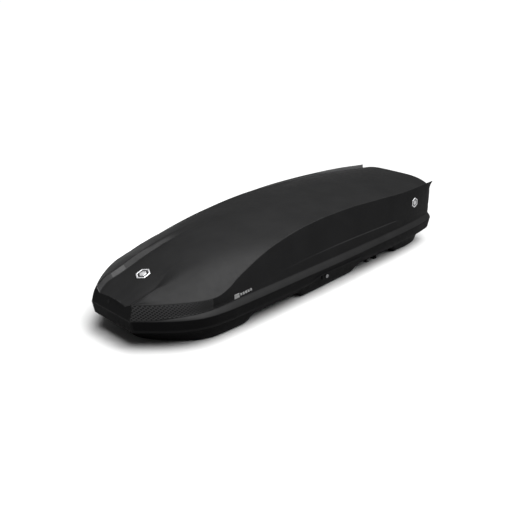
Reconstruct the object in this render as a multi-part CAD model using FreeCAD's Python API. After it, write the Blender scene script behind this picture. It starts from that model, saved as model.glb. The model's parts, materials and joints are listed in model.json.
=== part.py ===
"""Roof cargo box: lid, tray, hinges, gas struts, central lock and four bar clamps.

Millimetres. +X runs from the nose to the rear, -Y is the side with the lock, +Z is up, and the
origin is the centre of the footprint. Inside this file a place is given as (s, y, z): s is the
distance from the nose, y the distance from the centre plane and z the height above the rim line,
the lower edge of the bead that runs round the lid. put() turns that into the part's own frame.
"""
import FreeCAD
import Part
import math
import os

os.makedirs("parts", exist_ok=True)

V = FreeCAD.Vector

# Driving dimensions
NOSE = 10.0            # s of the nose face at the rim line
REAR = 2190.0          # s of the rearmost edge of the rim
BELLY = -158.0         # underside of the tray's bellies
WALL = 4.0             # wall of both shells
SKIRT = -60.0          # lower edge of the lid's skirt
SKIRT_LEAN = 12.0      # how far the skirt leans in over its height
FACE_LEAN = 0.33       # set-back of the nose face for each mm of height
TRAY_TOP = -35.0       # upper edge of the tray
BAR_SEAT = -124.0      # underside of the tray over the roof bars
BAR_STATIONS = (780.0, 1632.0)
MIDDLE = (NOSE + REAR) / 2

HINGE_Y = 334.0        # hinge axis on the far side, parallel to X
HINGE_Z = -47.0
HINGE_STATIONS = (620.0, 1050.0, 1480.0)
PIN_R = 3.0
RUN = 0.05             # radial clearance of a running fit

LID_OPEN = 45.0        # degrees
STRUT_STATIONS = (470.0, 1880.0)
STRUT_FOOT = (180.0, -95.0)    # (y, z) of the pivot on the tray
STRUT_HEAD = (260.0, 90.0)     # (y, z) of the pivot on the closed lid

LOCK_S = 1092.0
LOCK_Z = -52.0
BAR_Y = -339.0         # lock bar's centre plane
STRIKER_STATIONS = (650.0, 1250.0, 1540.0)
LOCK_TRAVEL = 20.0

CLAMP_Y = 232.0        # clamps sit this far from the centre plane
JAW_X = 44.0           # closed jaw leg, from the bar's centre
JAW_TRAVEL = 12.0


def put(s, y, z):
    """A place on the box, in the part's frame."""
    return V(s - MIDDLE, y, z - BELLY)


def curve(*knots):
    """A smooth curve through (s, value) knots that never overshoots them (monotone cubic)."""
    xs = [k[0] for k in knots]
    ys = [k[1] for k in knots]
    steps = [(ys[i + 1] - ys[i]) / (xs[i + 1] - xs[i]) for i in range(len(xs) - 1)]
    slopes = [steps[0]]
    for a, b in zip(steps, steps[1:]):
        slopes.append(0.0 if a * b <= 0 else 2 * a * b / (a + b))
    slopes.append(steps[-1])

    def value(x):
        x = min(max(x, xs[0]), xs[-1])
        i = max(j for j in range(len(xs) - 1) if xs[j] <= x)
        width = xs[i + 1] - xs[i]
        t = (x - xs[i]) / width
        return (
            ys[i] * (1 + 2 * t) * (1 - t) ** 2
            + slopes[i] * width * t * (1 - t) ** 2
            + ys[i + 1] * t * t * (3 - 2 * t)
            + slopes[i + 1] * width * t * t * (t - 1)
        )

    return value


# Lines that run along the lid: half widths (_y) and heights (_z)
rim_y = curve((0, 138), (12, 150), (70, 208), (138, 274), (208, 325), (270, 356), (346, 372),
              (443, 378), (560, 378), (1030, 371), (1350, 364), (1770, 350), (1950, 338),
              (2060, 323), (2110, 313), (2150, 293), (2175, 266), (2190, 226))
crease_y = curve((0, 106), (35, 140), (100, 204), (176, 266), (240, 309), (308, 342), (360, 353),
                 (410, 352), (485, 338), (632, 317), (753, 305), (983, 294), (1146, 293),
                 (1348, 297), (1560, 306), (1772, 311), (1944, 300), (2170, 268))
crease_z = curve((0, 68), (35, 70), (176, 73), (308, 76), (360, 83), (410, 98), (485, 126),
                 (556, 147), (632, 170), (753, 199), (853, 216), (983, 233), (1146, 244),
                 (1348, 248), (1560, 242), (1772, 233), (1944, 227), (2170, 209))
side_y = curve((0, 108), (35, 142), (1772, 314), (1944, 309), (2060, 300), (2110, 289),
               (2150, 283), (2170, 272))
side_drop = curve((0, 3), (1650, 3), (1772, 7), (1944, 20), (2170, 42))
ridge_y = curve((0, 98), (35, 132), (100, 153), (155, 154), (223, 159), (350, 172), (600, 182))
ridge_z = curve((0, 52), (35, 68), (100, 98), (155, 113), (223, 132), (287, 149), (350, 163),
                (450, 184), (600, 208), (800, 232), (1000, 248), (1250, 259), (1500, 258),
                (1750, 248), (2000, 232), (2170, 218))
riser = curve((0, 11), (60, 13), (450, 12), (620, 3), (700, 0))
RISER_RUN = 25.0       # width of the slope between the sunken panel and the ridge
centre_z = curve((0, 48), (33, 60), (100, 85), (204, 119), (287, 146), (350, 166), (450, 192),
                 (600, 221), (800, 246), (1000, 261), (1250, 270), (1500, 269), (1750, 259),
                 (2000, 242), (2170, 227))
fin_height = curve((1100, 0), (1350, 6), (1772, 12), (2155, 19))
ledge = curve((0, 2), (60, 3), (174, 14), (300, 20), (560, 24), (2050, 24), (2190, 20))
bead_z = curve((0, 2), (60, 3), (200, 15), (350, 24), (560, 29), (2190, 27))
step_y = curve((0, 1), (700, 1), (900, 4), (1700, 6), (1800, 1))


def lid_section(s):
    """Half section of the lid at s, from the roof's centre out and down to the skirt's edge."""
    rim = rim_y(s)
    cy, cz = crease_y(s), crease_z(s)
    bead = rim - ledge(s)
    shoulder = min(side_y(s), bead - 1) if s > 1700 else cy + 2
    low_z = cz - side_drop(s)
    mid_z = max(0.36 * low_z, bead_z(s) + 12)
    mid_y = bead + (shoulder - bead) * 0.22
    fin = fin_height(s)
    root_y = cy - 4 - fin
    roof_z = cz - fin
    peak_y = min(ridge_y(s), root_y - 4)
    peak_z = ridge_z(s)
    return [
        (0, centre_z(s)),
        (peak_y * 0.5, (centre_z(s) * 3 + peak_z - riser(s)) / 4),
        (peak_y - RISER_RUN, peak_z - riser(s)),
        (peak_y, peak_z),
        (root_y, roof_z + (0.5 if fin < 1 else 0)),
        (cy, cz),
        (shoulder, low_z),
        (mid_y, mid_z),
        (mid_y + step_y(s), mid_z - 6),
        (bead, bead_z(s)),
        (rim, 0),
        (rim - SKIRT_LEAN, SKIRT),
    ]


def rim_section(s):
    """Half section behind the rear wall, where only the bead and the skirt are left."""
    rim = rim_y(s)
    deck = [((rim - 20) * k / 9, bead_z(s)) for k in range(10)]
    return deck + [(rim, 0), (rim - SKIRT_LEAN, SKIRT)]


def inset(points, wall):
    """The half section moved in by a wall: each edge shifts along its own normal."""
    moved = []
    for i, (y, z) in enumerate(points):
        near = []
        for a, b in ((i - 1, i), (i, i + 1)):
            if a < 0:
                near.append((0.0, -1.0))
                continue
            if b >= len(points):
                continue
            dy, dz = points[b][0] - points[a][0], points[b][1] - points[a][1]
            size = math.hypot(dy, dz)
            near.append((dz / size, -dy / size))
        ny = sum(n[0] for n in near) / len(near)
        nz = sum(n[1] for n in near) / len(near)
        square = max(ny * ny + nz * nz, 0.45)
        moved.append((y + wall * ny / square, z + wall * nz / square))
    moved[0] = (0, moved[0][1])
    end_y, end_z = moved[-1]
    before_y, before_z = moved[-2]
    reach = (SKIRT - 10 - before_z) / (end_z - before_z)
    moved[-1] = (before_y + (end_y - before_y) * reach, SKIRT - 10)
    return moved


def hollow_section(s, wall):
    """The half section of the lid's hollow: it passes under the fins and keeps one corner there."""
    half = lid_section(s)
    corner = (half[5][0], half[4][1] - 3)
    simple = inset(half[:4] + [corner] + half[7:], wall)
    roof_side = blend(simple[3:5], 0.9)
    wall_side = blend(simple[4:6], 0.05)
    return simple[:4] + [roof_side, simple[4], wall_side] + simple[5:]


def blend(pair, share):
    """The point that lies a share of the way from the first of two points to the second."""
    (y0, z0), (y1, z1) = pair
    return (y0 + (y1 - y0) * share, z0 + (z1 - z0) * share)


def ring(s, half):
    """A closed section wire from a half section."""
    both = [(-y, z) for y, z in reversed(half[1:])] + half
    points = [put(s, y, z) for y, z in both]
    return Part.makePolygon(points + [points[0]])


def loft(wires):
    solid = Part.makeLoft(wires, True, True)
    if solid.Volume < 0:
        solid.reverse()
    return solid


def box(s0, s1, y0, y1, z0, z1):
    low = put(min(s0, s1), min(y0, y1), min(z0, z1))
    return Part.makeBox(abs(s1 - s0), abs(y1 - y0), abs(z1 - z0), low)


def rod(s, y, z, radius, length, direction):
    """A cylinder whose first face is centred on (s, y, z)."""
    return Part.makeCylinder(radius, length, put(s, y, z), V(*direction))


def prism(points, axis, start, end):
    """A solid with a flat outline. Axis y: points are (s, z). Axis s: points are (y, z)."""
    if axis == "y":
        wire = [put(a, start, b) for a, b in points]
        push = V(0, end - start, 0)
    else:
        wire = [put(start, a, b) for a, b in points]
        push = V(end - start, 0, 0)
    return Part.Face(Part.makePolygon(wire + [wire[0]])).extrude(push)


def fuse(*solids):
    joined = solids[0].fuse(list(solids[1:])) if len(solids) > 1 else solids[0]
    return joined.removeSplitter()


def export(name, shape):
    if shape.ShapeType not in ("Solid", "Compound"):
        shape = Part.makeCompound(shape.Solids)
    if len(shape.Solids) == 1:
        shape = shape.Solids[0]
    state = "valid" if shape.isValid() else "NOT VALID"
    print(f"{name}: {len(shape.Solids)} solid(s), {state}, {shape.Volume / 1000:.1f} cm3")
    shape.exportStep(f"parts/{name}.step")


def mirrored(shape):
    return shape.mirror(V(0, 0, 0), V(0, 1, 0))


# --- Lid shell ---------------------------------------------------------------------------

STATIONS = (NOSE, 35, 70, 105, 140, 176, 214, 252, 300, 350, 400, 450, 520, 600, 700, 830, 983,
            1146, 1348, 1560, 1700, 1830, 1944, 2060, 2110, 2150)
WALL_FOOT = 2172.0     # s of the rear wall's lower edge, at the bead


def lid_body(wall):
    """The lid as a filled body, or its hollow when wall isn't 0."""
    wires = []
    for s in STATIONS:
        half = hollow_section(s, wall) if wall else lid_section(s)
        place = s
        if wall and s == NOSE:
            place = s + wall
        if wall and s == STATIONS[-1]:
            place = s - wall
        wires.append(ring(place, half))
    for s in (WALL_FOOT, 2182.0, REAR):
        half = rim_section(s)
        if wall:
            half = inset(half, wall)
        wires.append(ring(s - wall, half))
    body = loft(wires)
    top = 120.0
    face = [(NOSE - 60 + wall, 0), (NOSE + wall, 0), (NOSE + wall + FACE_LEAN * top, top),
            (NOSE - 60 + wall, top)]
    return body.cut(prism(face, "y", -400, 400))


SCOOP = (960.0, 1010.0, 1390.0, 1440.0)    # finger scoop in the near skirt
SCOOP_TOP = -31.0


def lid_shell():
    shell = lid_body(0).cut(lid_body(WALL))
    a, b, c, d = SCOOP
    cut = prism([(a, SKIRT - 20), (b, SCOOP_TOP), (c, SCOOP_TOP), (d, SKIRT - 20)], "y", -400, -300)
    return shell.cut(cut)


# --- Tray shell --------------------------------------------------------------------------

# Outline corners: (s, y) of the upper edge and (s, y) of the bottom edge
TRAY_CORNERS = (
    (62, 60, 106, 28), (66, 118, 116, 60), (92, 168, 140, 98), (140, 222, 182, 158),
    (205, 272, 244, 224), (268, 303, 318, 284), (346, 319, 400, 309), (443, 326, 500, 311),
    (560, 326, 600, 310), (1030, 319, 1030, 298), (1350, 312, 1350, 283), (1770, 298, 1740, 268),
    (1950, 292, 1925, 268), (2062, 280, 2012, 262), (2118, 244, 2072, 226), (2144, 180, 2096, 158),
)
CHANNELS = ((562, 615, 945, 978), (1395, 1470, 1795, 1832))


def tray_side(level):
    """The corners (s, y) of one half of the tray's wall at a height."""
    share = (TRAY_TOP - level) / (TRAY_TOP - BELLY)
    side = []
    for top_s, top_y, low_s, low_y in TRAY_CORNERS:
        side.append((top_s + (low_s - top_s) * share, top_y + (low_y - top_y) * share))
    return side


def tray_outline(level, grow):
    """A closed outline of the tray's wall at a height, moved out by grow."""
    side = tray_side(level)
    moved = []
    for i, (s, y) in enumerate(side):
        before = side[i - 1] if i else (side[0][0], -side[0][1])
        after = side[i + 1] if i + 1 < len(side) else (side[-1][0], -side[-1][1])
        ds, dy = after[0] - before[0], after[1] - before[1]
        size = math.hypot(ds, dy)
        moved.append((s - grow * dy / size, y + grow * ds / size))
    points = [put(s, y, level) for s, y in moved]
    points += [put(s, -y, level) for s, y in reversed(moved)]
    return Part.makePolygon(points + [points[0]])


def tray_body(wall):
    top = TRAY_TOP + (12 if wall else 0)
    body = loft([tray_outline(BELLY + wall, -wall), tray_outline(top, -wall)])
    for a, b, c, d in CHANNELS:
        low = BELLY - 10
        slope_in = (b - a) / (BAR_SEAT - BELLY)
        slope_out = (d - c) / (BAR_SEAT - BELLY)
        cut = [(a - 10 * slope_in - wall, low), (b - wall, BAR_SEAT + wall),
               (c + wall, BAR_SEAT + wall), (d + 10 * slope_out + wall, low)]
        body = body.cut(prism(cut, "y", -400, 400))
    return body


def flange_outline():
    """The tray's flange follows the lid's rim, just inside the skirt. It is drawn in further where
    the far edge of the open lid swings past it."""
    side = [(30, 145)]
    for s in (70, 138, 208, 270, 346, 443, 560, 1030, 1350, 1770, 1950, 2060):
        swung_past = s in (208, 2060)
        side.append((s, rim_y(s) - (22 if swung_past else 18)))
    side += [(2106, rim_y(2106) - 28), (2140, rim_y(2140) - 30), (2160, rim_y(2160) - 50)]
    points = [put(s, y, TRAY_TOP - WALL) for s, y in side]
    points += [put(s, -y, TRAY_TOP - WALL) for s, y in reversed(side)]
    return Part.makePolygon(points + [points[0]])


def jaw_slots(sign, station):
    """Slots through the floor for one clamp's two jaws."""
    inner, outer = JAW_X - 5, JAW_X + JAW_TRAVEL + 5
    slots = []
    for way in (-1, 1):
        slots.append(box(station + way * inner, station + way * outer, sign * CLAMP_Y - 17,
                         sign * CLAMP_Y + 17, BAR_SEAT - 5, BAR_SEAT + 20))
    return slots


def tray_shell():
    flange = Part.Face(flange_outline()).extrude(V(0, 0, WALL))
    outside = tray_body(0).fuse(flange)
    shell = outside.cut(tray_body(WALL))
    cuts = [box(1015, 1170, -420, -328, TRAY_TOP - 6, TRAY_TOP + 4)]
    for station in BAR_STATIONS:
        for sign in (-1, 1):
            cuts += jaw_slots(sign, station)
    return shell.cut(cuts)


# --- Hinges ------------------------------------------------------------------------------

KNUCKLE_R = 6.0
KNUCKLES = ((-30, -11), (-10, 10), (11, 30))     # tray, lid, tray, along the pin
LEAF = 3.0


def tray_wall_y(s, z):
    """Outer half width of the tray's wall at s and z, on its long sides."""
    side = tray_side(z)
    for (s0, y0), (s1, y1) in zip(side, side[1:]):
        if s0 <= s <= s1:
            return y0 + (y1 - y0) * (s - s0) / (s1 - s0)
    return side[-1][1]


def tray_leaf_y(s):
    """Where a tray leaf's back face lies, just clear of the wall all along the leaf."""
    return max(tray_wall_y(s + ds, z) for ds in (-34, 34) for z in (-57, -41)) + 0.8


def skirt_inner_y(s, z):
    """Inner half width of the lid's skirt at s and z, below the rim line."""
    return rim_y(s) - WALL + SKIRT_LEAN * z / -SKIRT


def knuckle(s, span, bore):
    outer = rod(s + span[0], HINGE_Y, HINGE_Z, KNUCKLE_R, span[1] - span[0], (1, 0, 0))
    hole = rod(s + span[0] - 1, HINGE_Y, HINGE_Z, bore, span[1] - span[0] + 2, (1, 0, 0))
    return outer, hole


def hinge_leaf_tray(s):
    wall = tray_leaf_y(s)
    solids, holes = [box(s - 34, s + 34, wall, wall + LEAF, -57, -41)], []
    for span in (KNUCKLES[0], KNUCKLES[2]):
        outer, hole = knuckle(s, span, PIN_R)
        solids.append(outer)
        solids.append(box(s + span[0], s + span[1], wall + 1, HINGE_Y, -52, -49))
        holes.append(hole)
    holes.append(rod(s - 10.6, HINGE_Y, HINGE_Z, KNUCKLE_R + 0.6, 21.2, (1, 0, 0)))
    return fuse(*solids).cut(holes)


def hinge_leaf_lid(s):
    outer, hole = knuckle(s, KNUCKLES[1], PIN_R + RUN)
    reach = skirt_inner_y(s, -58) - 1
    arm = box(s + KNUCKLES[1][0], s + KNUCKLES[1][1], HINGE_Y, reach, -49, -46)
    pad = box(s - 26, s + 26, reach - LEAF, reach, -58, -42)
    return fuse(outer, arm, pad).cut([hole])


def hinge_pins():
    pins = []
    for s in HINGE_STATIONS:
        shaft = rod(s - 32, HINGE_Y, HINGE_Z, PIN_R, 64, (1, 0, 0))
        head = rod(s - 34, HINGE_Y, HINGE_Z, 4.5, 2, (1, 0, 0))
        pins.append(fuse(shaft, head))
    return Part.makeCompound(pins)


# --- Gas struts --------------------------------------------------------------------------

STRUT_DY = STRUT_HEAD[0] - STRUT_FOOT[0]
STRUT_DZ = STRUT_HEAD[1] - STRUT_FOOT[1]
STRUT_LENGTH = math.hypot(STRUT_DY, STRUT_DZ)
ALONG = (0, STRUT_DY / STRUT_LENGTH, STRUT_DZ / STRUT_LENGTH)
ROD_R = 4.0
BORE_R = 7.0
STUD_R = 4.0
TUBE_START = 14.0      # from the lower pivot, clear of the bracket's ear
TUBE_END = 118.0
EAR = 4.0
STUD_PLAY = 6.5        # the lid's ear clears the rod's stud by this much


def on_strut(s, distance, radius, length):
    y = STRUT_FOOT[0] + ALONG[1] * distance
    z = STRUT_FOOT[1] + ALONG[2] * distance
    return rod(s, y, z, radius, length, ALONG)


def strut_cylinder(s):
    eye = rod(s - 5, STRUT_FOOT[0], STRUT_FOOT[1], 9, 10, (1, 0, 0))
    neck = on_strut(s, 6, 4.5, 10)
    tube = on_strut(s, TUBE_START, 9.5, TUBE_END - TUBE_START)
    bore = on_strut(s, TUBE_START + 4, BORE_R, TUBE_END - TUBE_START - 8)
    gland = on_strut(s, TUBE_END - 6, ROD_R + RUN, 10)
    pivot = rod(s - 6, STRUT_FOOT[0], STRUT_FOOT[1], STUD_R + RUN, 12, (1, 0, 0))
    return fuse(eye, neck, tube).cut([bore, gland, pivot])


def strut_rod(s):
    shaft = on_strut(s, 22, ROD_R, STRUT_LENGTH - 26)
    piston = on_strut(s, 20, BORE_R - RUN, 7)
    eye = rod(s - 5, STRUT_HEAD[0], STRUT_HEAD[1], 8, 10, (1, 0, 0))
    stud = rod(s - 5, STRUT_HEAD[0], STRUT_HEAD[1], STUD_R, 22, (1, 0, 0))
    head = rod(s + 15, STRUT_HEAD[0], STRUT_HEAD[1], 13, 2, (1, 0, 0))
    return fuse(shaft, piston, eye, stud, head)


def strut_bracket_tray(s):
    y, z = STRUT_FOOT
    floor = BELLY + WALL
    base = box(s - 24, s + 24, y - 22, y + 22, floor, floor + 3)
    ear = box(s + 6, s + 6 + EAR, y - 12, y + 12, floor, z)
    crown = rod(s + 6, y, z, 12, EAR, (1, 0, 0))
    stud = rod(s - 7, y, z, STUD_R, 13 + EAR, (1, 0, 0))
    return fuse(base, ear, crown, stud)


def lid_side_y(s, z):
    """Inner half width of the lid's side wall, between the bead and the side crease."""
    half = lid_section(s)
    low, mid, high = half[9], half[7], half[6]
    a, b = (low, mid) if z < mid[1] else (mid, high)
    return a[0] + (b[0] - a[0]) * (z - a[1]) / (b[1] - a[1]) - WALL - 1


def strut_bracket_lid(s):
    y, z = STRUT_HEAD
    corners = [(t, h) for t in (s - 28, s + 28) for h in (z - 32, z + 14)]
    edge = min(lid_side_y(t, h) for t, h in corners) - 4
    pad = box(s - 22, s + 26, edge - 3, edge, z - 30, z + 12)
    ear = box(s + 7, s + 7 + EAR, y, edge - 1, z - 15, z + 15)
    crown = rod(s + 7, y, z, 15, EAR, (1, 0, 0))
    hole = rod(s + 6, y, z, STUD_R + STUD_PLAY, EAR + 2, (1, 0, 0))
    return fuse(pad, ear, crown).cut([hole])


# --- Central lock, on the lid's near side ------------------------------------------------

CORE_R = 8.0
CAM_R = LOCK_TRAVEL / math.sqrt(2)     # cam pin's radius, for a quarter turn from -45 to +45


def lock_housing():
    pod = box(LOCK_S - 30, LOCK_S + 34, -357, -345, -64, -12)
    nose = rod(LOCK_S, -357, LOCK_Z, 13, 3, (0, -1, 0))
    bore = rod(LOCK_S, -370, LOCK_Z, CORE_R + RUN, 40, (0, 1, 0))
    return fuse(pod, nose).cut([bore])


def key_cylinder():
    core = rod(LOCK_S, -363, LOCK_Z, CORE_R, 19, (0, 1, 0))
    collar = rod(LOCK_S, -363, LOCK_Z, 9.5, 2.5, (0, 1, 0))
    slot = box(LOCK_S - 0.9, LOCK_S + 0.9, -364, -360, LOCK_Z - 5, LOCK_Z + 5)
    shaft = rod(LOCK_S, -345, LOCK_Z, 3, 14, (0, 1, 0))
    lever = box(LOCK_S - 4, LOCK_S + 4, -335, -331, LOCK_Z, LOCK_Z + CAM_R)
    tip = rod(LOCK_S, -335, LOCK_Z + CAM_R, 4, 4, (0, 1, 0))
    cam_pin = rod(LOCK_S, -342.5, LOCK_Z + CAM_R, 2, 8, (0, 1, 0))
    cam = fuse(lever, tip, cam_pin)
    cam.rotate(put(LOCK_S, 0, LOCK_Z), V(0, 1, 0), -45)
    return fuse(core, collar, shaft, cam).cut([slot])


def lock_bar():
    bar = box(560, 1630, BAR_Y - 2, BAR_Y + 2, -30, -14)
    pin_s = LOCK_S - LOCK_TRAVEL / 2
    tab = box(pin_s - 9, pin_s + 9, BAR_Y - 2, BAR_Y + 2, -46, -29)
    slot = box(pin_s - 2.9, pin_s + 2.9, BAR_Y - 4, BAR_Y + 4, -48, -34)
    tongues = []
    for s in STRIKER_STATIONS:
        tongues.append(box(s - 34, s - 16, BAR_Y + 1, BAR_Y + 14, -20, -16))
    return fuse(bar, tab, *tongues).cut([slot])


def lock_bar_guides():
    guides = []
    for s in (580, 860, 1400, 1590):
        outer = skirt_inner_y(s, -34) - 1
        back = box(s - 8, s + 8, -outer, -outer + 2, -31, -2)
        arms = box(s - 8, s + 8, -outer, BAR_Y + 4, -12.5, -10.5)
        lower = box(s - 8, s + 8, -outer, BAR_Y + 4, -33.5, -31.5)
        back_low = box(s - 8, s + 8, -outer, -outer + 2, -33.5, -30)
        guides.append(fuse(back, arms, lower, back_low))
    return Part.makeCompound(guides)


def strikers():
    hooks = []
    for s in STRIKER_STATIONS:
        foot = box(s - 13, s + 22, -334, -308, TRAY_TOP, TRAY_TOP + 3)
        post = box(s - 12, s + 20, -322, -316, TRAY_TOP, -9)
        arm = box(s - 12, s + 20, -334, -316, -13, -9)
        hooks.append(fuse(foot, post, arm))
    return Part.makeCompound(hooks)


# --- Bar clamps --------------------------------------------------------------------------

FLOOR = BAR_SEAT + WALL            # top of the tray's floor over a bar
PLATE = 3.0
JAW_W = 30.0
JAW_LOW = BAR_SEAT - 33.5          # underside of the jaws' toes
KNOB_R = 30.0


def clamp_housing(sign, station):
    y = sign * CLAMP_Y
    base = box(station - 78, station + 78, y - 26, y + 26, FLOOR + 3, FLOOR + 3 + PLATE)
    for slot in jaw_slots(sign, station):
        base = base.cut(slot)
    cover = box(station - 72, station + 72, y - 24, y + 24, FLOOR + 6, FLOOR + 30)
    hollow = box(station - 69, station + 69, y - 21, y + 21, FLOOR + 5, FLOOR + 27)
    boss = rod(station, y, FLOOR + 27, 14, 6, (0, 0, 1))
    bore = rod(station, y, FLOOR + 20, 6 + RUN, 20, (0, 0, 1))
    return fuse(base, cover.cut(hollow), boss).cut([bore])


def clamp_spindle(sign, station):
    y = sign * CLAMP_Y
    shaft = rod(station, y, FLOOR + 22, 6, 22, (0, 0, 1))
    scroll = rod(station, y, FLOOR + 17, 20, 5, (0, 0, 1))
    return fuse(shaft, scroll)


def clamp_knob(sign, station):
    y = sign * CLAMP_Y
    low = FLOOR + 34
    body = rod(station, y, low, KNOB_R - 6, 22, (0, 0, 1))
    lobes = []
    for k in range(6):
        turn = math.radians(60 * k)
        lobes.append(rod(station + (KNOB_R - 8) * math.cos(turn), y + (KNOB_R - 8) * math.sin(turn),
                         low, 8, 22, (0, 0, 1)))
    socket = rod(station, y, low - 1, 6, 11, (0, 0, 1))
    return fuse(body, *lobes).cut([socket])


def clamp_jaw(sign, station, way):
    """One jaw at its closed place: way -1 is in front of the bar, +1 behind it."""
    y = sign * CLAMP_Y
    leg_s = station + way * JAW_X
    leg = box(leg_s - 4, leg_s + 4, y - JAW_W / 2, y + JAW_W / 2, JAW_LOW, FLOOR + 12)
    foot = box(leg_s - 8, leg_s + 8, y - 19, y + 19, FLOOR + 6.5, FLOOR + 12)
    reach = box(leg_s, station + way * 12, y - 8, y + 8, FLOOR + 11, FLOOR + 16)
    toe = box(leg_s, station + way * 24, y - JAW_W / 2, y + JAW_W / 2, JAW_LOW, JAW_LOW + 6)
    return fuse(leg, foot, reach, toe)


# --- Rails, stiffener and trim -----------------------------------------------------------

def floor_rail(sign):
    """A steel strip under each pair of clamps on the tray's floor, over both bar seats."""
    strips = []
    y = sign * CLAMP_Y
    for station, channel in zip(BAR_STATIONS, CHANNELS):
        strip = box(channel[1] + 4, channel[2] - 4, y - 28, y + 28, FLOOR, FLOOR + 2.5)
        for slot in jaw_slots(sign, station):
            strip = strip.cut(slot)
        strips.append(strip)
    return Part.makeCompound(strips)


def lid_rib(s):
    """A rib across the roof that follows the hollow's own roof, just under it."""
    wires = []
    for place in (s - 18, s + 18):
        roof = hollow_section(place, WALL)
        top = [(y, z - 2.5) for y, z in roof[:4] + [blend(roof[3:5], 0.85)]]
        low = [(y, z - 10) for y, z in top]
        outline = [(-y, z) for y, z in reversed(top[1:])] + top
        outline += list(reversed(low)) + [(-y, z) for y, z in low[1:]]
        points = [put(place, y, z) for y, z in outline]
        wires.append(Part.makePolygon(points + [points[0]]))
    return loft(wires)


def film(stations, pick):
    """A thin film on the near side, over the points that pick takes from each half section."""
    rings = []
    for s in stations:
        under = pick(inset(lid_section(s), -0.4))
        over = pick(inset(lid_section(s), -1.0))
        place = s + 0.5 if s == NOSE else s
        points = [put(place, -y, z) for y, z in under + list(reversed(over))]
        rings.append(Part.makePolygon(points + [points[0]]))
    return loft(rings)


def weave_film():
    """The textured film on the near front facet."""
    return film((35, 70, 105, 140, 176, 214, 252, 300), lambda half: half[6:10])


def at_level(pair, z):
    """The point between two points at a height."""
    return blend(pair, (pair[0][1] - z) / (pair[0][1] - pair[1][1]))


def side_decal():
    """A plain strip low on the near side, over the step behind the front facet."""
    high, low = 52, 32
    return film((446, 450, 520), lambda half: [at_level(half[6:8], high), half[7], half[8],
                                               at_level(half[8:10], low)])


def badge(centre, out, ahead, radius, thickness):
    """A plain six-sided plate with two corners along ahead."""
    out = V(*out)
    ahead = V(*ahead)
    ahead = (ahead - out * ahead.dot(out)).normalize()
    across = out.cross(ahead)
    corners = []
    for k in range(6):
        angle = math.radians(60 * k)
        corners.append(centre + ahead * radius * math.cos(angle) + across * radius * math.sin(angle))
    return Part.Face(Part.makePolygon(corners + [corners[0]])).extrude(out * thickness)


def side_badge():
    """A badge high on the near side, in front of the rear corner."""
    s = 1930.0
    half = lid_section(s)
    y, z = blend(half[6:8], 0.5)
    dy, dz = half[7][0] - half[6][0], half[7][1] - half[6][1]
    size = math.hypot(dy, dz)
    ny, nz = -dz / size, dy / size
    return badge(put(s, -(y + 2.2 * ny), z + 2.2 * nz), (0, -ny, nz), (0, 0, 1), 30.0, 2.0)


def front_badge():
    """A badge on the sunken panel of the hood."""
    s = 204.0
    slope = math.atan2(centre_z(s + 25) - centre_z(s - 25), 50)
    up = (-math.sin(slope), 0, math.cos(slope))
    return badge(put(s + 3 * up[0], 0, centre_z(s) + 3 * up[2]), up, (1, 0, 0), 38.0, 2.5)


PLUG = (23.0, 37.0)        # (y, z) of the plug on the nose face
PLUG_R = 6.0


def nose_plug():
    """A short plug in the nose face's hole."""
    y, z = PLUG
    lean = math.atan(FACE_LEAN)
    out = V(-math.cos(lean), 0, math.sin(lean))
    start = put(NOSE + FACE_LEAN * z, y, z) - out * 8
    stem = Part.makeCylinder(PLUG_R, 8, start, out)
    head = Part.makeCylinder(PLUG_R + 2, 1.5, start + out * 8.2, out)
    neck = Part.makeCylinder(PLUG_R - 1, 1, start + out * 7.5, out)
    return fuse(stem, neck, head)


# --- Fasteners ---------------------------------------------------------------------------


def rivet(s, y, z, direction, length, radius=2.5):
    """A rivet whose head sits on (s, y, z) and whose shank runs against direction."""
    away = V(*direction)
    seat = put(s, y, z)
    shank = Part.makeCylinder(radius, length, seat - away * length, away)
    head = Part.makeCylinder(radius * 1.8, 1.6, seat, away)
    return fuse(shank, head)


def tray_hinge_rivets():
    solids = []
    for s in HINGE_STATIONS:
        for step in (-22, 22):
            solids.append(rivet(s + step, tray_leaf_y(s) + LEAF, -54.5, (0, 1, 0), 14, 1.5))
    return solids


def lid_hinge_rivets():
    solids = []
    for s in HINGE_STATIONS:
        for step in (-20, 20):
            seat = skirt_inner_y(s, -58) - 1 - LEAF
            solids.append(rivet(s + step, seat, -55, (0, -1, 0), 7, 1.5))
    return solids


def clamp_screws():
    solids = []
    for station in BAR_STATIONS:
        for sign in (-1, 1):
            for ds in (-75, 75):
                for dy in (-20, 20):
                    top = FLOOR + 3 + PLATE
                    solids.append(rivet(station + ds, sign * CLAMP_Y + dy, top, (0, 0, 1), 9, 1.5))
    return solids


def bracket_screws():
    solids = []
    for s in STRUT_STATIONS:
        for ds, dy in ((-18, -16), (-18, 16)):
            solids.append(rivet(s + ds, STRUT_FOOT[0] + dy, BELLY + WALL + 3, (0, 0, 1), 6, 2))
    return solids


def lock_screws():
    return [rivet(LOCK_S + ds, -345, -20, (0, 1, 0), 16, 2) for ds in (-24, 26)]


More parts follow.
